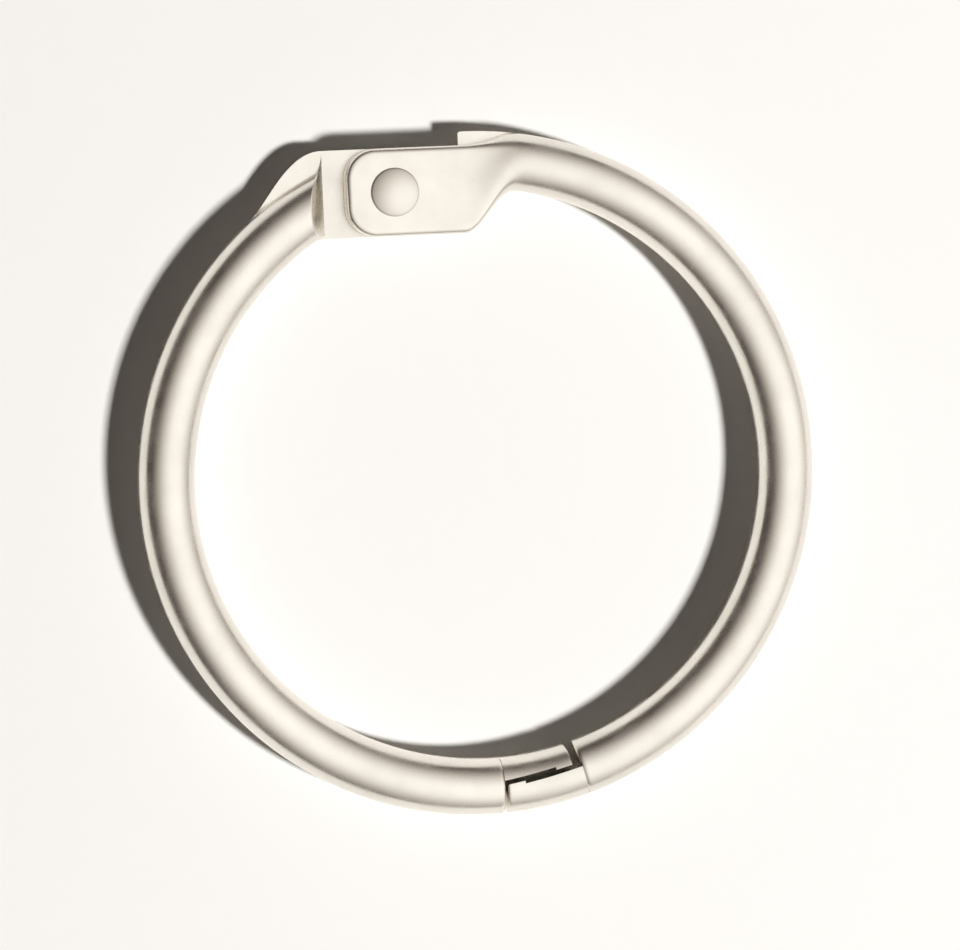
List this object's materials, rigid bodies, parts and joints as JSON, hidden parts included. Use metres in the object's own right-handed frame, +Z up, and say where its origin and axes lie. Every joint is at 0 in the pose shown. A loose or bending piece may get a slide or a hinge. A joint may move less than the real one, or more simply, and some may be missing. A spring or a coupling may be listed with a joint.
{
  "type": "binder ring",
  "caption": "Hinged loose-leaf binder ring of round plated wire, with a riveted hinge and a lapped latch opposite it.",
  "frame": {"origin": "centre of the wire's circle, on the surface that the ring lies on", "axes": "+Z up out of the ring's plane, +Y towards the hinge, +X towards the half with the upper ear"},
  "size_m": [0.03, 0.0306, 0.0025],
  "materials": {
    "plated_wire": "bright nickel plate, slightly warm, lightly handled",
    "plated_rivet": "bright nickel plate, peened heads"
  },
  "bodies": {
    "upper_ear_half": {"half_ring_upper": "plated_wire", "rivet": "plated_rivet"},
    "lower_ear_half": {"half_ring_lower": "plated_wire"}
  },
  "joints": [
    {"name": "hinge", "type": "hinge", "parent": "upper_ear_half", "child": "lower_ear_half", "pos_m": [0, 0.01295, 0.00125], "axis": [0, 0, -1], "range_deg": [0, 110]}
  ]
}
